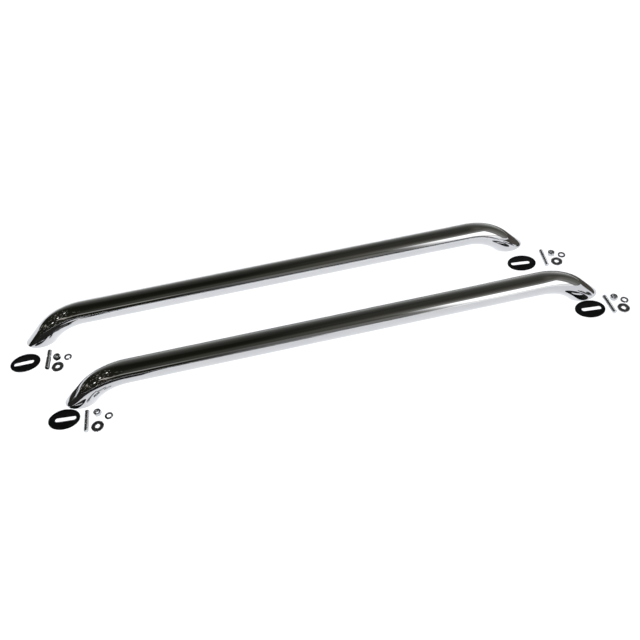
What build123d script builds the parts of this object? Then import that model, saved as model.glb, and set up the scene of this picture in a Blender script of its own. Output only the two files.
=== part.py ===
"""Pair of bent-tube truck bed side rails, laid out with the four mounting sets that hold them.

Frame: +X runs along the rails, +Y goes from the near rail to the far one and +Z is up.
The origin is on the floor, midway between the near rail's two feet.  Units are millimetres.
"""

from build123d import *
from math import cos, radians, sin
import os

# Rail: one tube, straight in the middle, bent down at both ends and cut flat on the floor.
FOOT_SPACING = 1105.0
RAIL_HEIGHT = 84.0
TUBE_DIAMETER = 50.8
TUBE_WALL = 2.0
BEND_ANGLE = 45.0
BEND_RADIUS = 125.0

# Foot plate: welded flush inside each cut end, with a slot that lets the stud be set to its hole.
PLATE_THICKNESS = 4.0
SLOT_LENGTH = 40.0
SLOT_WIDTH = 11.0
SLOT_INSET = 3.0

# Slide nut and the two bent strips that guide it above the slot.
SLIDE_NUT_SIDE = 16.0
SLIDE_NUT_THICKNESS = 5.0
GUIDE_LENGTH = 40.0
GUIDE_SHEET = 1.5
GUIDE_LIP = 2.5
RUNNING_GAP = 0.3

# 3/8 inch hardware.  Threads are plain cylinders: major diameter outside, minor diameter inside.
THREAD_MAJOR = 9.5
THREAD_MINOR = 8.0
STUD_LENGTH = 50.8
STUD_SHORT_THREAD = 16.0
STUD_NECK_LENGTH = 2.5
STUD_CHAMFER = 1.0
NUT_ACROSS_FLATS = 14.3
NUT_HEIGHT = 8.3
NUT_BORE_CHAMFER = 0.8
NUT_CORNER_DROP = 0.9
NUT_FACE_INSET = 0.2
LOCK_WASHER_DIAMETER = 16.6
LOCK_WASHER_BORE = 9.8
LOCK_WASHER_THICKNESS = 2.3
LOCK_WASHER_GAP = 1.6
FLAT_WASHER_DIAMETER = 25.4
FLAT_WASHER_BORE = 10.3
FLAT_WASHER_THICKNESS = 2.0
FLAT_WASHER_EDGE = 0.3

# Rubber gasket: an oval pad with a slot for the stud, set off towards one end of the oval.
GASKET_LENGTH = 65.0
GASKET_WIDTH = 49.0
GASKET_THICKNESS = 2.4
GASKET_EDGE = 0.6
GASKET_SLOT_LENGTH = 43.5
GASKET_SLOT_WIDTH = 10.2

# Layout on the floor.  Each rail stands at its own centre, and each mounting set lies beside a foot.
RAIL_CENTRES = {"near": (0.0, 0.0), "far": (-93.5, 196.0)}
SIDES = {"left": -1, "right": 1}

# Gaskets: centre and turn about Z.  A turn near 180 puts the slot towards the oval's left end.
GASKETS = {
    "near_left": (-589.0, -44.0, -5.0),
    "near_right": (549.5, -51.5, -6.0),
    "far_left": (-680.0, 133.0, 180.0),
    "far_right": (467.0, 124.0, 173.0),
}
# Studs: middle of the length, and the direction in which the short thread points.
STUDS = {
    "near_left": (-542.0, -63.0, 88.0),
    "near_right": (593.0, -52.5, 89.0),
    "far_left": (-628.0, 126.0, 85.0),
    "far_right": (521.0, 123.0, 83.0),
}
# Hex nuts and lock washers: centre and turn about Z.  Flat washers: centre.
HEX_NUTS = {
    "near_left": (-520.5, -47.0, 8.0),
    "near_right": (612.0, -36.0, 22.0),
    "far_left": (-610.0, 129.0, 14.0),
    "far_right": (543.5, 133.0, 3.0),
}
LOCK_WASHERS = {
    "near_left": (-498.0, -59.0, -35.0),
    "near_right": (632.0, -47.0, -100.0),
    "far_left": (-587.0, 125.0, -60.0),
    "far_right": (566.0, 124.0, 160.0),
}
FLAT_WASHERS = {
    "near_left": (-521.0, -79.0),
    "near_right": (619.0, -68.0),
    "far_left": (-608.5, 103.0),
    "far_right": (546.0, 107.0),
}

# Sizes that follow from the driving dimensions.
tube_radius = TUBE_DIAMETER / 2
bore_radius = tube_radius - TUBE_WALL
axis_height = RAIL_HEIGHT - tube_radius
bend_run = BEND_RADIUS * sin(radians(BEND_ANGLE))
bend_drop = BEND_RADIUS * (1 - cos(radians(BEND_ANGLE)))
leg_drop = axis_height - bend_drop
leg_run = leg_drop * cos(radians(BEND_ANGLE)) / sin(radians(BEND_ANGLE))
leg_length = leg_drop / sin(radians(BEND_ANGLE))
straight_half = FOOT_SPACING / 2 - bend_run - leg_run
leg_overrun = 2 * TUBE_DIAMETER
guide_inner_width = SLIDE_NUT_SIDE + 2 * RUNNING_GAP
guide_inner_height = SLIDE_NUT_THICKNESS + 2 * RUNNING_GAP


def save(piece, name):
    """Label a finished piece and write it to its own STEP file."""
    piece.part.label = name
    export_step(piece.part, f"parts/{name}.step")


def flat_plane(x, y, turn=0.0, height=0.0):
    """Horizontal plane at a point of the floor, turned about Z."""
    return Plane(origin=(x, y, height), x_dir=(cos(radians(turn)), sin(radians(turn)), 0), z_dir=(0, 0, 1))


def leg_plane(x, y, side):
    """Plane across one leg at its bend, looking down the leg."""
    direction = (side * cos(radians(BEND_ANGLE)), 0, -sin(radians(BEND_ANGLE)))
    bend_end = (x + side * (straight_half + bend_run), y, leg_drop)
    return Plane(origin=bend_end, x_dir=(0, 1, 0), z_dir=direction)


def slot_centre(rail, side):
    """Middle of a foot plate's slot, on the floor."""
    x, y = RAIL_CENTRES[rail]
    return x + side * (FOOT_SPACING / 2 - SLOT_INSET), y


def tube_ring():
    """Section of the tube, drawn in the current sketch."""
    Circle(tube_radius)
    Circle(bore_radius, mode=Mode.SUBTRACT)


def rail_tube(rail):
    """Bent tube: straight middle, two bends, two legs, cut flat on the floor."""
    x, y = RAIL_CENTRES[rail]
    with BuildPart() as tube:
        with BuildSketch(Plane(origin=(x, y, axis_height), x_dir=(0, 1, 0), z_dir=(1, 0, 0))):
            tube_ring()
        extrude(amount=straight_half, both=True)
        for side in SIDES.values():
            bend_start = x + side * straight_half
            with BuildSketch(Plane(origin=(bend_start, y, axis_height), x_dir=(0, 1, 0), z_dir=(side, 0, 0))):
                tube_ring()
            bend_axis = Axis((bend_start, y, axis_height - BEND_RADIUS), (0, side, 0))
            revolve(axis=bend_axis, revolution_arc=BEND_ANGLE)
            with BuildSketch(leg_plane(x, y, side)):
                tube_ring()
            extrude(amount=leg_length + leg_overrun)
        split(bisect_by=Plane.XY, keep=Keep.TOP)
    return tube


def foot_plate(rail, side):
    """Plug of plate that fills the tube's bore at the cut, with the stud's slot through it."""
    x, y = RAIL_CENTRES[rail]
    with BuildPart() as plate:
        with BuildSketch(leg_plane(x, y, side)):
            Circle(bore_radius)
        extrude(amount=leg_length + leg_overrun, both=True)
        split(bisect_by=Plane.XY, keep=Keep.TOP)
        split(bisect_by=Plane.XY.offset(PLATE_THICKNESS), keep=Keep.BOTTOM)
        with BuildSketch(flat_plane(*slot_centre(rail, side))):
            SlotOverall(SLOT_LENGTH, SLOT_WIDTH)
        extrude(amount=PLATE_THICKNESS, mode=Mode.SUBTRACT)
    return plate


def nut_guides(rail, side):
    """Two strips on the foot plate, each bent in over the slide nut's edge."""
    x, y = slot_centre(rail, side)
    wall_y = guide_inner_width / 2
    top = guide_inner_height + GUIDE_SHEET
    outline = [
        (wall_y, 0),
        (wall_y + GUIDE_SHEET, 0),
        (wall_y + GUIDE_SHEET, top),
        (wall_y - GUIDE_LIP, top),
        (wall_y - GUIDE_LIP, guide_inner_height),
        (wall_y, guide_inner_height),
    ]
    section = Plane(origin=(x, y, PLATE_THICKNESS), x_dir=(0, 1, 0), z_dir=(1, 0, 0))
    with BuildPart() as guides:
        with BuildSketch(section):
            with BuildLine():
                Polyline(*outline, close=True)
            make_face()
            mirror(about=Plane.YZ)
        extrude(amount=GUIDE_LENGTH / 2, both=True)
    return guides


def slide_nut(rail, side):
    """Thin square nut that slides along the slot with the stud screwed into it."""
    x, y = slot_centre(rail, side)
    with BuildPart() as nut:
        with BuildSketch(flat_plane(x, y, height=PLATE_THICKNESS + RUNNING_GAP)):
            Rectangle(SLIDE_NUT_SIDE, SLIDE_NUT_SIDE)
            Circle(THREAD_MINOR / 2, mode=Mode.SUBTRACT)
        extrude(amount=SLIDE_NUT_THICKNESS)
    return nut


def gasket(x, y, turn):
    """Oval rubber pad with a slot, its top edge rounded."""
    with BuildPart() as pad:
        with BuildSketch(flat_plane(x, y, turn)):
            Ellipse(GASKET_LENGTH / 2, GASKET_WIDTH / 2)
        extrude(amount=GASKET_THICKNESS)
        fillet(pad.edges().group_by(Axis.Z)[-1], radius=GASKET_EDGE)
        with BuildSketch(flat_plane(x, y, turn)):
            with Locations((SLOT_INSET, 0)):
                SlotOverall(GASKET_SLOT_LENGTH, GASKET_SLOT_WIDTH)
        extrude(amount=GASKET_THICKNESS, mode=Mode.SUBTRACT)
    return pad


def stud(x, y, turn):
    """Double-ended stud lying on the floor: short thread, plain neck, long thread."""
    half = STUD_LENGTH / 2
    radius = THREAD_MAJOR / 2
    neck_radius = THREAD_MINOR / 2
    neck_start = half - STUD_SHORT_THREAD
    neck_end = neck_start - STUD_NECK_LENGTH
    lying = flat_plane(x, y, turn, height=radius)
    with BuildPart() as rod:
        with BuildSketch(lying):
            with BuildLine():
                Polyline(
                    (half, 0),
                    (half, radius - STUD_CHAMFER),
                    (half - STUD_CHAMFER, radius),
                    (neck_start, radius),
                    (neck_start, neck_radius),
                    (neck_end, neck_radius),
                    (neck_end, radius),
                    (STUD_CHAMFER - half, radius),
                    (-half, radius - STUD_CHAMFER),
                    (-half, 0),
                    close=True,
                )
            make_face()
        revolve(axis=Axis((x, y, radius), tuple(lying.x_dir)))
    return rod


def hex_nut(x, y, turn):
    """Hexagon nut with its corners turned down at both ends and a chamfered bore."""
    corner_radius = NUT_ACROSS_FLATS / 2 / cos(radians(30))
    face_radius = NUT_ACROSS_FLATS / 2 - NUT_FACE_INSET
    seat = flat_plane(x, y, turn)
    upright = Plane(origin=(x, y, 0), x_dir=(1, 0, 0), z_dir=(0, -1, 0))
    with BuildPart() as nut:
        with BuildSketch(seat):
            RegularPolygon(NUT_ACROSS_FLATS / 2, 6, major_radius=False)
        extrude(amount=NUT_HEIGHT)
        with BuildSketch(upright):
            with BuildLine():
                Polyline(
                    (0, 0),
                    (face_radius, 0),
                    (corner_radius, NUT_CORNER_DROP),
                    (corner_radius, NUT_HEIGHT - NUT_CORNER_DROP),
                    (face_radius, NUT_HEIGHT),
                    (0, NUT_HEIGHT),
                    close=True,
                )
            make_face()
        revolve(axis=Axis((x, y, 0), (0, 0, 1)), mode=Mode.INTERSECT)
        with BuildSketch(seat):
            Circle(THREAD_MINOR / 2)
        extrude(amount=NUT_HEIGHT, mode=Mode.SUBTRACT)
        bore_edges = nut.edges().filter_by(GeomType.CIRCLE).group_by(SortBy.RADIUS)[0]
        chamfer(bore_edges, length=NUT_BORE_CHAMFER)
    return nut


def lock_washer(x, y, turn):
    """Spring washer: a ring of near-square section, cut through at one place."""
    mean_radius = (LOCK_WASHER_DIAMETER + LOCK_WASHER_BORE) / 4
    with BuildPart() as washer:
        with BuildSketch(flat_plane(x, y, turn)):
            Circle(LOCK_WASHER_DIAMETER / 2)
            Circle(LOCK_WASHER_BORE / 2, mode=Mode.SUBTRACT)
            with Locations((mean_radius, 0)):
                Rectangle(LOCK_WASHER_DIAMETER / 2, LOCK_WASHER_GAP, mode=Mode.SUBTRACT)
        extrude(amount=LOCK_WASHER_THICKNESS)
    return washer


def flat_washer(x, y):
    """Wide plain washer with its outer edges broken."""
    with BuildPart() as washer:
        with BuildSketch(flat_plane(x, y)):
            Circle(FLAT_WASHER_DIAMETER / 2)
        extrude(amount=FLAT_WASHER_THICKNESS)
        chamfer(washer.edges(), length=FLAT_WASHER_EDGE)
        with BuildSketch(flat_plane(x, y)):
            Circle(FLAT_WASHER_BORE / 2)
        extrude(amount=FLAT_WASHER_THICKNESS, mode=Mode.SUBTRACT)
    return washer


os.makedirs("parts", exist_ok=True)

for rail in RAIL_CENTRES:
    save(rail_tube(rail), f"{rail}_rail_tube")
    for side_name, side in SIDES.items():
        corner = f"{rail}_{side_name}"
        save(foot_plate(rail, side), f"{corner}_foot_plate")
        save(nut_guides(rail, side), f"{corner}_nut_guides")
        save(slide_nut(rail, side), f"{corner}_slide_nut")
        save(gasket(*GASKETS[corner]), f"{corner}_gasket")
        save(stud(*STUDS[corner]), f"{corner}_stud")
        save(hex_nut(*HEX_NUTS[corner]), f"{corner}_hex_nut")
        save(lock_washer(*LOCK_WASHERS[corner]), f"{corner}_lock_washer")
        save(flat_washer(*FLAT_WASHERS[corner]), f"{corner}_flat_washer")
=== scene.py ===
from math import cos, pi, radians, sin, sqrt, tau

import bmesh
import bpy
from mathutils import Matrix, Vector


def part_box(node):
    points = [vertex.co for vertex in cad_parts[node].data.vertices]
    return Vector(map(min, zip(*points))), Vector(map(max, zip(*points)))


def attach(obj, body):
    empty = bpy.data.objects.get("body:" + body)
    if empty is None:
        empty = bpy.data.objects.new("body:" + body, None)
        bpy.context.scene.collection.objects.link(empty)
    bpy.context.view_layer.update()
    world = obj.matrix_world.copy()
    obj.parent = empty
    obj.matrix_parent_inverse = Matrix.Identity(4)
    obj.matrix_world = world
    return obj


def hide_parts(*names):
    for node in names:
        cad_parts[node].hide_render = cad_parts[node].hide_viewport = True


# Looks of two chromed bed side rails and their four mounting sets.  Everything is in metres, in the
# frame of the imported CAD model, and each piece takes its place and overall size from its CAD node.
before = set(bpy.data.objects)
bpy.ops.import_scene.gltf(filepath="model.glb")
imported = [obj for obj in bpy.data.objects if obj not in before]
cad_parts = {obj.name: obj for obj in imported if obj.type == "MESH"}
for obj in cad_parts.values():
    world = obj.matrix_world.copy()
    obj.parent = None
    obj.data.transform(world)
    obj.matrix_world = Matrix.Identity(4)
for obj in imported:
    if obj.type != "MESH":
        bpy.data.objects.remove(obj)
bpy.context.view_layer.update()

MM = 0.001
RAILS = ("near", "far")
CORNERS = ("near_left", "near_right", "far_left", "far_right")

# Rail tube, as designed: two bends down, then legs cut flat on the floor.
BEND_ANGLE = radians(45)
BEND_RADIUS = 125 * MM
TUBE_WALL = 2 * MM
CUT_EDGE = 0.3 * MM
TUBE_SEGMENTS = 128
BEND_STEPS = 28
LEG_STEPS = 4
STRAIGHT_STEPS = 36

# 3/8 inch thread, 16 to the inch.  The steps are rings of mesh in each turn.
THREAD_PITCH = 25.4 / 16 * MM
THREAD_DEPTH = 0.8 * MM
THREAD_STEPS = 9
NUT_THREAD_SHARE = 0.9

# Gasket: the slot is set off from the oval's centre, and the top face has a rim and a groove.
GASKET_SLOT_LENGTH = 43.5 * MM
GASKET_SLOT_WIDTH = 10.2 * MM
GASKET_SLOT_INSET = 3 * MM
GASKET_LENGTH = 65 * MM
GASKET_WIDTH = 49 * MM
GASKET_EDGE = 0.6 * MM
GASKET_LIP = 0.35 * MM
GASKET_STEP = 0.25 * MM
GASKET_SEGMENTS = 192

STUD_SHORT_THREAD = 16 * MM
STUD_NECK_LENGTH = 2.5 * MM
STUD_LENGTH = 50.8 * MM
STUD_CHAMFER = 1 * MM
STUD_RUNOUT = 0.7 * MM
STUD_SEGMENTS = 48

NUT_FLATS = 14.3 * MM
NUT_BORE_RADIUS = 4 * MM
NUT_BORE_CHAMFER = 0.8 * MM
NUT_CORNER_DROP = 0.9 * MM
NUT_FACE_INSET = 0.2 * MM
NUT_EDGE_ACROSS = 0.12 * MM
NUT_EDGE_DOWN = 0.15 * MM
NUT_SEGMENTS = 96
SLIDE_NUT_SIDE = 16 * MM
SLIDE_NUT_CORNER_DROP = 0.25 * MM
SLIDE_NUT_BORE_CHAMFER = 0.4 * MM

LOCK_WASHER_BORE_RADIUS = 4.9 * MM
LOCK_WASHER_GAP = 1.6 * MM
LOCK_WASHER_RISE = 0.45 * MM
LOCK_WASHER_EDGE = 0.18 * MM
LOCK_WASHER_STEPS = 96
FLAT_WASHER_BORE_RADIUS = 5.15 * MM
FLAT_WASHER_ROLL = 0.2 * MM
FLAT_WASHER_BURR = 0.08 * MM
FLAT_WASHER_SEGMENTS = 128
SHARP_ANGLE = radians(38)

# How each loose piece is turned about the vertical, in degrees.
TURNS = {
    "gasket": {"near_left": -5, "near_right": -6, "far_left": 180, "far_right": 173},
    "stud": {"near_left": 88, "near_right": 89, "far_left": 85, "far_right": 83},
    "hex_nut": {"near_left": 8, "near_right": 22, "far_left": 14, "far_right": 3},
    "lock_washer": {"near_left": -35, "near_right": -100, "far_left": -60, "far_right": 160},
}

# Camera of the reference view.
CAMERA_PLACE = (-0.1636, -0.9405, 1.1395)
CAMERA_YAW = 0.1334
CAMERA_PITCH = 0.8361
CAMERA_ROLL = -0.1074
CAMERA_LENS = 38.64

# Studio: floor, cards on it, and the two lights.
FLOOR_REACH = 9
CARD_LEVEL = 0.2 * MM
FLOOR_LIGHT = 3.75
KEY_HEIGHT = 4
KEY_SIZE = 7
KEY_POWER = 14


# ---------------------------------------------------------------- meshes

def surface(name, rings, ends="joined"):
    """Mesh from rings of equal length.  The last ring meets the first, or both are capped."""
    count = len(rings[0])
    verts = [point for ring in rings for point in ring]
    faces = []
    spans = len(rings) if ends == "joined" else len(rings) - 1
    for i in range(spans):
        low = i * count
        high = (i + 1) % len(rings) * count
        for j in range(count):
            k = (j + 1) % count
            faces.append((low + j, low + k, high + k, high + j))
    if ends == "capped":
        faces.append(tuple(range(count)))
        faces.append(tuple(range(len(verts) - 1, len(verts) - 1 - count, -1)))
    mesh = bpy.data.meshes.new(name)
    mesh.from_pydata(verts, [], faces)
    shape = bmesh.new()
    shape.from_mesh(mesh)
    bmesh.ops.recalc_face_normals(shape, faces=shape.faces)
    shape.to_mesh(mesh)
    shape.free()
    mesh.polygons.foreach_set("use_smooth", [True] * len(mesh.polygons))
    mesh.set_sharp_from_angle(angle=SHARP_ANGLE)
    piece = bpy.data.objects.new(name, mesh)
    bpy.context.scene.collection.objects.link(piece)
    return piece


def stand_for(piece, node, body, look):
    """Finish a piece: its material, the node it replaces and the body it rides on."""
    piece.data.materials.append(look)
    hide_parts(node)
    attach(piece, body)


def middle(node):
    """Centre of a node's box, on the box's lowest level, with the box's size."""
    low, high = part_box(node)
    return Vector(((low.x + high.x) / 2, (low.y + high.y) / 2, low.z)), high - low


def arc(centre, radius, start, end, steps):
    """Points of an arc in a profile, as (across, height), angles in degrees."""
    turns = (radians(start + (end - start) * i / steps) for i in range(steps + 1))
    return [(centre[0] + radius * cos(t), centre[1] + radius * sin(t)) for t in turns]


def smooth(low, high, value):
    """Smooth step from 0 at low to 1 at high."""
    share = min(1.0, max(0.0, (value - low) / (high - low)))
    return share * share * (3 - 2 * share)


def thread_height(turns):
    """Height of a thread's flank, 0 at the root and 1 at the crest, over one turn."""
    wave = abs(2 * (turns % 1.0) - 1)
    return smooth(0.1, 0.9, wave)


def rail_tube(rail):
    """Bent tube with its bore, cut flat on the floor at both ends."""
    node = f"{rail}_rail_tube"
    low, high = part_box(node)
    radius = (high.y - low.y) / 2
    centre = (low + high) / 2
    axis_height = high.z - radius
    leg_drop = axis_height - BEND_RADIUS * (1 - cos(BEND_ANGLE))
    foot_reach = (high.x - low.x) / 2 - radius / sin(BEND_ANGLE)
    leg_run = leg_drop * cos(BEND_ANGLE) / sin(BEND_ANGLE)
    straight_half = foot_reach - BEND_RADIUS * sin(BEND_ANGLE) - leg_run

    def section(side, reach, bend, size):
        """Ring across the tube at a point of the straight (bend 0) or of a bend."""
        x = centre.x + side * (reach + BEND_RADIUS * sin(bend))
        z = axis_height - BEND_RADIUS * (1 - cos(bend))
        ring = []
        for j in range(TUBE_SEGMENTS):
            turn = tau * j / TUBE_SEGMENTS
            up = size * sin(turn)
            across = centre.y + size * cos(turn)
            ring.append(Vector((x + side * up * sin(bend), across, z + up * cos(bend))))
        return ring

    def cut(side, size, height):
        """Ring where the leg's lines reach a level."""
        down_leg = Vector((side * cos(BEND_ANGLE), 0, -sin(BEND_ANGLE)))
        start = section(side, straight_half, BEND_ANGLE, size)
        return [point + down_leg * ((point.z - height) / sin(BEND_ANGLE)) for point in start]

    def half(side, size, height):
        """Rings from the cut to the near end of the straight."""
        end = section(side, straight_half, BEND_ANGLE, size)
        floor = cut(side, size, height)
        legs = [
            [a.lerp(b, i / LEG_STEPS) for a, b in zip(floor, end)]
            for i in range(LEG_STEPS)
        ]
        bends = [
            section(side, straight_half, BEND_ANGLE * (1 - i / BEND_STEPS), size)
            for i in range(BEND_STEPS + 1)
        ]
        return legs + bends

    def whole(size, height):
        """Rings of one wall of the tube, from the left cut to the right one."""
        left = half(-1, size, height)
        right = half(1, size, height)
        middles = [
            section(1, straight_half * (2 * i / STRAIGHT_STEPS - 1), 0, size)
            for i in range(1, STRAIGHT_STEPS)
        ]
        return left + middles + right[::-1]

    bore = radius - TUBE_WALL
    outside = [cut(-1, radius - CUT_EDGE, 0)]
    outside += whole(radius, CUT_EDGE)
    outside += [cut(1, radius - CUT_EDGE, 0)]
    return surface(f"{rail}_rail_polished_tube", outside + whole(bore, 0)[::-1])


def gasket(corner):
    """Oval rubber pad with a slot: a raised rim, a groove inside it and a lip at the slot."""
    centre, size = middle(f"{corner}_gasket")
    turn = Matrix.Rotation(radians(TURNS["gasket"][corner]), 3, "Z")
    thick = size.z
    slot_radius = GASKET_SLOT_WIDTH / 2
    slot_half = GASKET_SLOT_LENGTH / 2 - slot_radius
    slot_centre = Vector((GASKET_SLOT_INSET, 0, 0))
    outer = []
    inner = []
    for j in range(GASKET_SEGMENTS):
        t = tau * j / GASKET_SEGMENTS
        rim = Vector((GASKET_LENGTH / 2 * cos(t), GASKET_WIDTH / 2 * sin(t), 0))
        ray = (rim - slot_centre).normalized()
        reach = slot_radius / max(abs(ray.y), 1e-6)
        if abs(ray.x) * reach > slot_half:
            along = abs(ray.x) * slot_half
            reach = along + sqrt(along * along - slot_half ** 2 + slot_radius ** 2)
        outer.append(rim)
        inner.append(slot_centre + ray * reach)
    field = thick - GASKET_STEP
    groove = thick - 1.4 * GASKET_STEP
    lip_top = thick - GASKET_STEP / 2
    # Profile from the rim inwards and from the slot outwards, as (distance, height).
    from_outer = [(GASKET_EDGE / 2, 0), (0, GASKET_EDGE / 2)]
    from_outer += [
        (GASKET_EDGE - x, z)
        for x, z in arc((0, thick - GASKET_EDGE), GASKET_EDGE, 0, 90, 5)
    ]
    from_outer += [(3.4 * MM, thick), (3.7 * MM, field), (4.3 * MM, groove), (4.9 * MM, field)]
    from_inner = [(2.0 * MM, field), (1.7 * MM, lip_top), (1.3 * MM, lip_top)]
    from_inner += [
        (GASKET_LIP - x, z)
        for x, z in arc((0, lip_top - GASKET_LIP), GASKET_LIP, 90, 0, 4)
    ]
    from_inner += [(0, GASKET_LIP), (GASKET_LIP, 0)]
    rings = []
    for distances, starts, ends in ((from_outer, outer, inner), (from_inner, inner, outer)):
        for across, height in distances:
            ring = []
            for a, b in zip(starts, ends):
                point = a + (b - a).normalized() * across
                ring.append(centre + turn @ point + Vector((0, 0, height)))
            rings.append(ring)
    return surface(f"{corner}_moulded_gasket", rings)


def stud(corner):
    """Headless stud lying on the floor: cut threads, a plain neck and chamfered ends."""
    centre, size = middle(f"{corner}_stud")
    radius = size.z / 2
    root = radius - THREAD_DEPTH
    turn = radians(TURNS["stud"][corner])
    along = Vector((cos(turn), sin(turn), 0))
    across = Vector((-sin(turn), cos(turn), 0))
    up = Vector((0, 0, 1))
    half = STUD_LENGTH / 2
    neck_end = half - STUD_SHORT_THREAD
    neck_start = neck_end - STUD_NECK_LENGTH
    steps = round(STUD_LENGTH / THREAD_PITCH * THREAD_STEPS)
    axis = centre + Vector((0, 0, radius))
    rings = []
    for i in range(steps + 1):
        place = -half + STUD_LENGTH * i / steps
        past_start = smooth(neck_start - STUD_RUNOUT, neck_start, place)
        past_end = smooth(neck_end, neck_end + STUD_RUNOUT, place)
        threaded = 1 - past_start * (1 - past_end)
        end_limit = radius - STUD_CHAMFER + (half - abs(place))
        ring = []
        for j in range(STUD_SEGMENTS):
            angle = tau * j / STUD_SEGMENTS
            height = thread_height(place / THREAD_PITCH + j / STUD_SEGMENTS)
            reach = min(root + (radius - root) * height * threaded, end_limit)
            ring.append(axis + along * place + (across * cos(angle) + up * sin(angle)) * reach)
        rings.append(ring)
    return surface(f"{corner}_threaded_stud", rings, ends="capped")


def threaded_nut(name, node, sides, flats, turn, corner_drop, bore_chamfer):
    """Nut of any number of sides: chamfered corners and a cut thread in its bore."""
    centre, size = middle(node)
    height = size.z
    apothem = flats / 2
    face = apothem - NUT_FACE_INSET
    corner = apothem / cos(pi / sides)
    mouth = NUT_BORE_RADIUS + bore_chamfer
    angles = [tau * j / NUT_SEGMENTS for j in range(NUT_SEGMENTS)]

    def outline(angle):
        """Distance to the side at an angle from a corner."""
        return apothem / cos((angle % (tau / sides)) - pi / sides)

    def ring(reach, level):
        points = []
        for angle in angles:
            r = reach(angle)
            facing = angle + turn
            points.append(centre + Vector((r * cos(facing), r * sin(facing), level(angle))))
        return points

    def drop(angle):
        """How far the chamfer lowers the side's upper edge at an angle."""
        return corner_drop * max(0.0, (outline(angle) - face) / (corner - face))

    rings = []
    steps = round(height / THREAD_PITCH * THREAD_STEPS)
    for i in range(steps + 1):
        z = height * i / steps

        def thread(angle, z=z):
            depth = THREAD_DEPTH * NUT_THREAD_SHARE * thread_height(z / THREAD_PITCH + angle / tau)
            end = mouth - min(z, height - z)
            return max(NUT_BORE_RADIUS + depth, end)

        rings.append(ring(thread, lambda angle, z=z: z))
    rings.append(ring(lambda angle: (mouth + face) / 2, lambda angle: height))
    rings.append(ring(lambda angle: face, lambda angle: height))
    rings.append(ring(lambda angle: outline(angle) - NUT_EDGE_ACROSS, lambda angle: height - drop(angle)))
    rings.append(ring(outline, lambda angle: height - drop(angle) - NUT_EDGE_DOWN))
    rings.append(ring(outline, lambda angle: height / 2))
    rings.append(ring(outline, lambda angle: drop(angle) + NUT_EDGE_DOWN))
    rings.append(ring(lambda angle: outline(angle) - NUT_EDGE_ACROSS, drop))
    rings.append(ring(lambda angle: face, lambda angle: 0))
    rings.append(ring(lambda angle: (mouth + face) / 2, lambda angle: 0))
    return surface(name, rings)


def hex_nut(corner):
    """Plated hexagon nut."""
    return threaded_nut(
        f"{corner}_plated_hex_nut",
        f"{corner}_hex_nut",
        sides=6,
        flats=NUT_FLATS,
        turn=radians(TURNS["hex_nut"][corner]),
        corner_drop=NUT_CORNER_DROP,
        bore_chamfer=NUT_BORE_CHAMFER,
    )


def slide_nut(corner):
    """Square nut captive in the foot, with its edges just broken."""
    return threaded_nut(
        f"{corner}_square_slide_nut",
        f"{corner}_slide_nut",
        sides=4,
        flats=SLIDE_NUT_SIDE,
        turn=radians(45),
        corner_drop=SLIDE_NUT_CORNER_DROP,
        bore_chamfer=SLIDE_NUT_BORE_CHAMFER,
    )


def lock_washer(corner):
    """Spring washer: a split ring of rounded section whose ends stand apart in height."""
    centre, size = middle(f"{corner}_lock_washer")
    turn = radians(TURNS["lock_washer"][corner])
    outer = max(size.x, size.y) / 2
    width = outer - LOCK_WASHER_BORE_RADIUS
    thick = size.z - LOCK_WASHER_RISE
    near = LOCK_WASHER_EDGE
    far = width - LOCK_WASHER_EDGE
    top = thick - LOCK_WASHER_EDGE
    mean = (outer + LOCK_WASHER_BORE_RADIUS) / 2
    section = []
    for x, z, start in ((far, near, -90), (far, top, 0), (near, top, 90), (near, near, 180)):
        section += arc((x, z), LOCK_WASHER_EDGE, start, start + 90, 4)
    gap = LOCK_WASHER_GAP / mean
    rings = []
    for i in range(LOCK_WASHER_STEPS + 1):
        share = i / LOCK_WASHER_STEPS
        angle = turn + gap / 2 + (tau - gap) * share
        lift = LOCK_WASHER_RISE * share
        ring = []
        for x, z in section:
            r = LOCK_WASHER_BORE_RADIUS + x
            ring.append(centre + Vector((r * cos(angle), r * sin(angle), z + lift)))
        rings.append(ring)
    return surface(f"{corner}_split_lock_washer", rings, ends="capped")


def flat_washer(corner):
    """Punched flat washer: rolled upper edges and sharper lower ones."""
    centre, size = middle(f"{corner}_flat_washer")
    outer = size.x / 2
    bore = FLAT_WASHER_BORE_RADIUS
    thick = size.z
    roll = FLAT_WASHER_ROLL
    burr = FLAT_WASHER_BURR
    profile = [(bore + burr, 0), (outer - burr, 0), (outer, burr)]
    profile += arc((outer - roll, thick - roll), roll, 0, 90, 6)
    profile += arc((bore + roll, thick - roll), roll, 90, 180, 6)
    profile += [(bore, burr)]
    rings = []
    for r, z in profile:
        ring = []
        for j in range(FLAT_WASHER_SEGMENTS):
            angle = tau * j / FLAT_WASHER_SEGMENTS
            ring.append(centre + Vector((r * cos(angle), r * sin(angle), z)))
        rings.append(ring)
    return surface(f"{corner}_punched_flat_washer", rings)


# ---------------------------------------------------------------- materials

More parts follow.
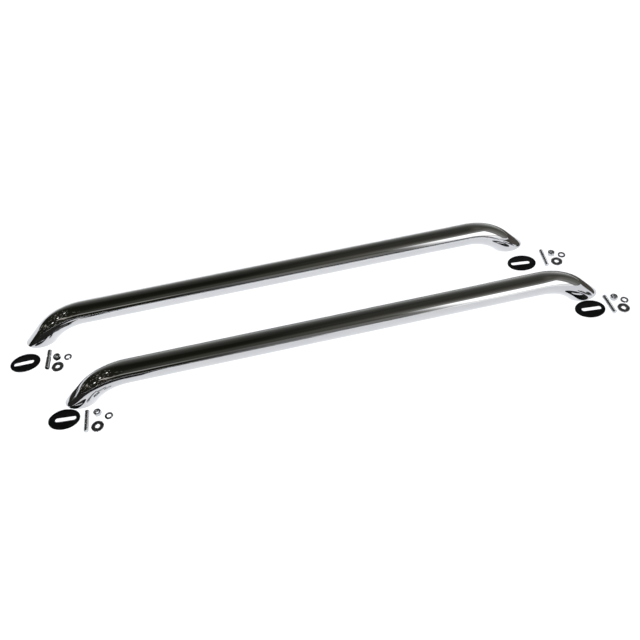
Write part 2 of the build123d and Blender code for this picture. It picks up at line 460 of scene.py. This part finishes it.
class Look:
    """A Principled material with object-space procedural detail."""

    def __init__(self, name, metallic, specular=0.5):
        self.material = bpy.data.materials.new(name)
        self.material.use_nodes = True
        self.tree = self.material.node_tree
        self.shader = self.tree.nodes["Principled BSDF"]
        self.shader.inputs["Metallic"].default_value = metallic
        self.shader.inputs["Specular IOR Level"].default_value = specular
        self.coordinates = self.tree.nodes.new("ShaderNodeTexCoord")

    def noise(self, scale, detail=4.0, stretch=(1, 1, 1)):
        """Noise in object space, drawn out along the axes where stretch is under 1."""
        mapping = self.tree.nodes.new("ShaderNodeMapping")
        mapping.inputs["Scale"].default_value = stretch
        texture = self.tree.nodes.new("ShaderNodeTexNoise")
        texture.inputs["Scale"].default_value = scale
        texture.inputs["Detail"].default_value = detail
        self.tree.links.new(self.coordinates.outputs["Object"], mapping.inputs["Vector"])
        self.tree.links.new(mapping.outputs["Vector"], texture.inputs["Vector"])
        return texture.outputs["Fac"]

    def colour(self, source, stops):
        """Base colour from a ramp of (place, grey or colour)."""
        ramp = self.tree.nodes.new("ShaderNodeValToRGB")
        elements = ramp.color_ramp.elements
        while len(elements) < len(stops):
            elements.new(0.5)
        for element, (place, colour) in zip(elements, stops):
            element.position = place
            element.color = (*colour, 1)
        self.tree.links.new(source, ramp.inputs["Fac"])
        self.tree.links.new(ramp.outputs["Color"], self.shader.inputs["Base Color"])

    def roughness(self, source, low, high):
        """Roughness between two values."""
        spread = self.tree.nodes.new("ShaderNodeMapRange")
        spread.inputs["From Min"].default_value = 0.3
        spread.inputs["From Max"].default_value = 0.7
        spread.inputs["To Min"].default_value = low
        spread.inputs["To Max"].default_value = high
        self.tree.links.new(source, spread.inputs["Value"])
        self.tree.links.new(spread.outputs["Result"], self.shader.inputs["Roughness"])

    def bump(self, source, strength, distance):
        """Bump on top of any bump set before."""
        bump = self.tree.nodes.new("ShaderNodeBump")
        bump.inputs["Strength"].default_value = strength
        bump.inputs["Distance"].default_value = distance
        self.tree.links.new(source, bump.inputs["Height"])
        before = self.shader.inputs["Normal"].links
        if before:
            self.tree.links.new(before[0].from_socket, bump.inputs["Normal"])
        self.tree.links.new(bump.outputs["Normal"], self.shader.inputs["Normal"])


def chrome():
    """Polished chrome: almost a mirror, with faint polishing lines along the tube and a haze."""
    look = Look("tube_chrome", 1.0)
    look.colour(look.noise(9, 3), [(0.3, (0.54, 0.545, 0.56)), (0.7, (0.58, 0.58, 0.585))])
    look.roughness(look.noise(30, 5, (0.15, 1, 1)), 0.02, 0.045)
    look.bump(look.noise(900, 2, (0.02, 1, 1)), 0.04, 0.00002)
    look.bump(look.noise(22, 2, (0.4, 1, 1)), 0.05, 0.0004)
    return look.material


def zinc(name, tone, rough):
    """Bright zinc plating: slightly cloudy and bluish, finely grained."""
    look = Look(name, 1.0)
    dark = tuple(0.82 * c for c in tone)
    look.colour(look.noise(420, 5), [(0.3, dark), (0.7, tone)])
    look.roughness(look.noise(900, 4), rough * 0.8, rough * 1.3)
    look.bump(look.noise(2600, 3), 0.12, 0.00004)
    look.shader.inputs["Specular Tint"].default_value = (0.7, 0.7, 0.7, 1)
    return look.material


def steel(name, tone, rough, grain=(1, 1, 1)):
    """Plain or oiled steel: darker, with rolled grain and stains."""
    look = Look(name, 1.0)
    stain = tuple(c * k for c, k in zip(tone, (0.62, 0.58, 0.52)))
    worn = tuple(1.12 * c for c in tone)
    look.colour(look.noise(260, 6, grain), [(0.32, stain), (0.5, tone), (0.75, worn)])
    look.roughness(look.noise(700, 5, grain), rough * 0.75, rough * 1.35)
    look.bump(look.noise(1500, 4, grain), 0.16, 0.00005)
    look.shader.inputs["Specular Tint"].default_value = (0.6, 0.6, 0.6, 1)
    return look.material


def rubber():
    """Moulded black rubber: matt, finely pitted, with a pale bloom in places."""
    look = Look("gasket_rubber", 0.0, 0.14)
    look.colour(look.noise(130, 6), [(0.35, (0.0012, 0.0013, 0.0015)), (0.7, (0.0034, 0.0034, 0.0037))])
    look.roughness(look.noise(500, 4), 0.42, 0.62)
    look.bump(look.noise(1800, 5), 0.25, 0.00006)
    return look.material


# ---------------------------------------------------------------- studio

class Room:
    """World seen by the metal: a dark room with lit areas, each given by direction."""

    def __init__(self):
        self.world = bpy.data.worlds.new("studio")
        bpy.context.scene.world = self.world
        self.world.use_nodes = True
        self.tree = self.world.node_tree
        self.tree.nodes.clear()
        place = self.tree.nodes.new("ShaderNodeTexCoord")
        axes = self.tree.nodes.new("ShaderNodeSeparateXYZ")
        self.tree.links.new(place.outputs["Generated"], axes.inputs["Vector"])
        self.direction = place.outputs["Generated"]
        front = self.math("MULTIPLY", axes.outputs["Y"], -1.0)
        turn = self.math("ARCTAN2", axes.outputs["X"], front)
        rise = self.math("ARCSINE", axes.outputs["Z"])
        self.azimuth = self.math("MULTIPLY", turn, 180 / pi)
        self.elevation = self.math("MULTIPLY", rise, 180 / pi)
        self.light = None

    def math(self, operation, first, second=None):
        node = self.tree.nodes.new("ShaderNodeMath")
        node.operation = operation
        for socket, value in zip(node.inputs, (first, second)):
            if value is None:
                continue
            if isinstance(value, (int, float)):
                socket.default_value = value
            else:
                self.tree.links.new(value, socket)
        return node.outputs["Value"]

    def ramp(self, source, low, high, from_value, to_value):
        """Smooth change of a value as source goes from low to high."""
        node = self.tree.nodes.new("ShaderNodeMapRange")
        node.interpolation_type = "SMOOTHSTEP"
        node.inputs["From Min"].default_value = low
        node.inputs["From Max"].default_value = high
        node.inputs["To Min"].default_value = from_value
        node.inputs["To Max"].default_value = to_value
        self.tree.links.new(source, node.inputs["Value"])
        return node.outputs["Result"]

    def window(self, source, low, high, soft):
        """1 between low and high, with soft edges that far to each side."""
        rising = self.ramp(source, low - soft, low + soft, 0, 1)
        falling = self.ramp(source, high - soft, high + soft, 1, 0)
        return self.math("MULTIPLY", rising, falling)

    def add(self, strength, colour):
        """Add light of one colour, with a strength by direction."""
        scale = self.tree.nodes.new("ShaderNodeVectorMath")
        scale.operation = "SCALE"
        scale.inputs[0].default_value = colour
        self.tree.links.new(strength, scale.inputs["Scale"])
        if self.light is None:
            self.light = scale.outputs["Vector"]
            return
        total = self.tree.nodes.new("ShaderNodeVectorMath")
        self.tree.links.new(self.light, total.inputs[0])
        self.tree.links.new(scale.outputs["Vector"], total.inputs[1])
        self.light = total.outputs["Vector"]

    def panel(self, azimuth, elevation, strength, colour=(1, 1, 1), soft=(2, 2)):
        """Lit rectangle, from one azimuth and elevation to another, in degrees."""
        across = self.window(self.azimuth, *azimuth, soft[0])
        along = self.window(self.elevation, *elevation, soft[1])
        area = self.math("MULTIPLY", across, along)
        self.add(self.math("MULTIPLY", area, strength), colour)

    def clutter(self, azimuth, elevation, strength, colour):
        """Scattered small bright things within a part of the room."""
        specks = self.tree.nodes.new("ShaderNodeTexNoise")
        specks.inputs["Scale"].default_value = 13
        specks.inputs["Detail"].default_value = 3
        self.tree.links.new(self.direction, specks.inputs["Vector"])
        bright = self.ramp(specks.outputs["Fac"], 0.60, 0.72, 0, strength)
        across = self.window(self.azimuth, *azimuth, 5)
        along = self.window(self.elevation, *elevation, 4)
        self.add(self.math("MULTIPLY", bright, self.math("MULTIPLY", across, along)), colour)

    def finish(self, backdrop):
        """The room lights and is mirrored; the camera itself sees a plain pale backdrop."""
        room = self.tree.nodes.new("ShaderNodeBackground")
        self.tree.links.new(self.light, room.inputs["Color"])
        plain = self.tree.nodes.new("ShaderNodeBackground")
        plain.inputs["Color"].default_value = (*backdrop, 1)
        rays = self.tree.nodes.new("ShaderNodeLightPath")
        self.world.cycles_visibility.diffuse = False
        mix = self.tree.nodes.new("ShaderNodeMixShader")
        output = self.tree.nodes.new("ShaderNodeOutputWorld")
        self.tree.links.new(rays.outputs["Is Camera Ray"], mix.inputs["Fac"])
        self.tree.links.new(room.outputs["Background"], mix.inputs[1])
        self.tree.links.new(plain.outputs["Background"], mix.inputs[2])
        self.tree.links.new(mix.outputs["Shader"], output.inputs["Surface"])


def studio_room():
    """Dark room round the paper: a wide soft light to the front right, and a paler back wall.

    Panels are given as (azimuths), (elevations) and strength, in degrees.  Azimuth 0 is the front,
    towards -Y, and grows towards +X.
    """
    room = Room()
    room.add(room.ramp(room.elevation, 40, 80, 0.018, 0.0125), (0.96, 1.0, 0.68))
    from_front = room.math("ABSOLUTE", room.math("ADD", room.azimuth, 12.0))
    behind = room.ramp(from_front, 112, 150, 0, 0.75)
    fall = room.math("EXPONENT", room.math("MULTIPLY", room.elevation, -1 / 20))
    room.add(room.math("MULTIPLY", behind, fall), (0.98, 1.0, 0.95))
    # Soft light to the front right, its halo and the wall that it lights.
    room.panel((17, 60), (9, 37), 2.2, soft=(3.5, 3))
    room.panel((15, 60), (-5, 6.5), 1.5, soft=(3.5, 0.8))
    room.panel((62, 76), (-5, 44), 0.26, soft=(10, 8))
    room.panel((76, 100), (-5, 42), 0.10, (1.0, 0.97, 0.9), soft=(12, 8))
    room.panel((18, 62), (38, 48), 0.22, soft=(8, 6))
    room.panel((10, 112), (-5, 62), 0.075, (1.0, 0.96, 0.84), soft=(18, 9))
    room.panel((15, 130), (46, 84), 0.035, (1.0, 0.97, 0.85), soft=(25, 8))
    # Front: dim wall with a pale strip, and what stands low on the left.
    room.panel((-2, 20), (-5, 28), 0.18, soft=(6, 5))
    room.panel((-22, 0), (19, 31), 0.07, soft=(5, 3))
    room.panel((-18, 30), (30, 54), 0.045, (0.99, 1.0, 0.86), soft=(8, 9))
    room.panel((-23, -7), (21, 26.5), 0.42, (1.0, 0.97, 0.92), soft=(4, 1.2))
    room.panel((-56, -37), (26.5, 29.5), 1.0, (1.0, 0.93, 0.84), soft=(4, 1))
    room.panel((-40, -24), (21, 24), 0.9, (1.0, 0.93, 0.84), soft=(4, 1))
    # Three ceiling lamps in a row to the left.
    half = 1.2
    for azimuth, elevation in ((-83, 52), (-68, 36.5), (-61, 22)):
        wide = half / cos(radians(elevation))
        across = (azimuth - wide, azimuth + wide)
        along = (elevation - half, elevation + half)
        room.panel(across, along, 6.5, soft=(0.6, 0.6))
    room.clutter((-125, -22), (2, 58), 0.8, (1.0, 0.93, 0.82))
    room.finish((0.98, 0.98, 0.98))


def card_look(name, tone):
    """Matt card, slightly uneven in tone."""
    look = Look(name, 0.0, 0.0)
    darker = tuple(0.6 * c for c in tone)
    lighter = tuple(1.4 * c for c in tone)
    look.colour(look.noise(4, 3), [(0.3, darker), (0.7, lighter)])
    look.shader.inputs["Roughness"].default_value = 1.0
    return look.material


def dark_cards():
    """Surroundings of the paper, seen only in the metal: dark to the left and front, brown to the right."""
    dark = card_look("dark_card", (0.024, 0.023, 0.021))
    brown = card_look("brown_card", (0.085, 0.077, 0.067))
    cards = {
        "dark_card_left": (dark, (-8.9, -2.2), (-0.655, 0.13)),
        "dark_card_far_left": (dark, (-8.9, 0.13), (-0.86, 0.22)),
        "dark_card_front": (dark, (-0.65, -2.2), (0.05, -0.60)),
        "dark_card_by_left_foot": (dark, (-0.66, 0.03), (-0.585, 0.13)),
        "dark_card_before_left_foot": (dark, (-0.66, -0.61), (-0.44, -0.17)),
        "brown_card_right": (brown, (0.61, -0.02), (8.9, 0.15)),
        "brown_card_far_right": (brown, (0.53, 0.15), (8.9, 1.40)),
    }
    for name, (look, (left, front), (right, back)) in cards.items():
        mesh = bpy.data.meshes.new(name)
        outline = ((left, front), (right, front), (right, back), (left, back))
        mesh.from_pydata([(x, y, CARD_LEVEL) for x, y in outline], [], [(0, 1, 2, 3)])
        mesh.materials.append(look)
        card = bpy.data.objects.new(name, mesh)
        card.visible_camera = False
        card.visible_diffuse = False
        card.visible_shadow = False
        bpy.context.scene.collection.objects.link(card)


def floor():
    """Pale paper floor, lit almost without shadows."""
    mesh = bpy.data.meshes.new("floor")
    corners = [(x * FLOOR_REACH, y * FLOOR_REACH, 0) for x, y in ((-1, -1), (1, -1), (1, 1), (-1, 1))]
    mesh.from_pydata(corners, [], [(0, 1, 2, 3)])
    piece = bpy.data.objects.new("floor", mesh)
    bpy.context.scene.collection.objects.link(piece)
    look = Look("floor_paper", 0.0, 0.0)
    look.colour(look.noise(3, 2), [(0.3, (0.855, 0.865, 0.89)), (0.7, (0.875, 0.885, 0.91))])
    look.shader.inputs["Roughness"].default_value = 1.0
    mesh.materials.append(look.material)


def overhead(name, light, height):
    """Put a light above the model, out of the camera's sight and of the metal's."""
    lamp = bpy.data.objects.new(name, light)
    lamp.location = (0, 0, height)
    lamp.visible_glossy = False
    lamp.visible_camera = False
    bpy.context.scene.collection.objects.link(lamp)


def soft_light():
    """Square soft light, for faint soft shadows."""
    light = bpy.data.lights.new("key", "AREA")
    light.shape = "SQUARE"
    light.size = KEY_SIZE
    light.energy = KEY_POWER
    overhead("key", light, KEY_HEIGHT)


def even_light():
    """Shadowless light of one strength everywhere, so that the floor is even out to its edge."""
    light = bpy.data.lights.new("fill", "SUN")
    light.energy = FLOOR_LIGHT
    light.use_shadow = False
    light.cycles.use_multiple_importance_sampling = False
    overhead("fill", light, KEY_HEIGHT)


def camera():
    """Camera of the reference view, from its place, yaw, pitch and roll."""
    level_part = cos(CAMERA_PITCH)
    ahead = Vector((sin(CAMERA_YAW) * level_part, cos(CAMERA_YAW) * level_part, -sin(CAMERA_PITCH)))
    level = Vector((cos(CAMERA_YAW), -sin(CAMERA_YAW), 0))
    above = level.cross(ahead)
    right = cos(CAMERA_ROLL) * level + sin(CAMERA_ROLL) * above
    up = -sin(CAMERA_ROLL) * level + cos(CAMERA_ROLL) * above
    lens = bpy.data.cameras.new("camera")
    lens.lens = CAMERA_LENS
    lens.sensor_width = 36
    lens.dof.use_dof = False
    viewer = bpy.data.objects.new("camera", lens)
    bpy.context.scene.collection.objects.link(viewer)
    pose = Matrix((right, up, -ahead)).transposed().to_4x4()
    pose.translation = Vector(CAMERA_PLACE)
    viewer.matrix_world = pose
    bpy.context.scene.camera = viewer


def give_look(node, look):
    """Better material on a CAD node that stays."""
    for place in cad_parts[node].material_slots:
        place.material = look


# ---------------------------------------------------------------- scene

camera()
studio_room()
floor()
dark_cards()
even_light()
soft_light()
bpy.context.scene.view_settings.view_transform = "Standard"

LOOKS = {
    "gasket": rubber(),
    "stud": zinc("stud_zinc", (0.64, 0.65, 0.67), 0.17),
    "hex_nut": zinc("hex_nut_zinc", (0.60, 0.61, 0.63), 0.20),
    "lock_washer": steel("lock_washer_steel", (0.12, 0.12, 0.126), 0.38),
    "flat_washer": steel("flat_washer_steel", (0.36, 0.36, 0.375), 0.30),
    "slide_nut": steel("slide_nut_steel", (0.60, 0.60, 0.61), 0.32),
}
MAKERS = {
    "gasket": gasket,
    "stud": stud,
    "hex_nut": hex_nut,
    "lock_washer": lock_washer,
    "flat_washer": flat_washer,
    "slide_nut": slide_nut,
}
tube_look = chrome()
plate_look = steel("plate_steel", (0.52, 0.52, 0.53), 0.36, (0.15, 1, 1))
guide_look = steel("guide_steel", (0.56, 0.56, 0.57), 0.34, (0.15, 1, 1))

for rail in RAILS:
    stand_for(rail_tube(rail), f"{rail}_rail_tube", f"{rail}_rail", tube_look)
for corner in CORNERS:
    for kind, make in MAKERS.items():
        stand_for(make(corner), f"{corner}_{kind}", f"{corner}_{kind}", LOOKS[kind])
    give_look(f"{corner}_foot_plate", plate_look)
    give_look(f"{corner}_nut_guides", guide_look)
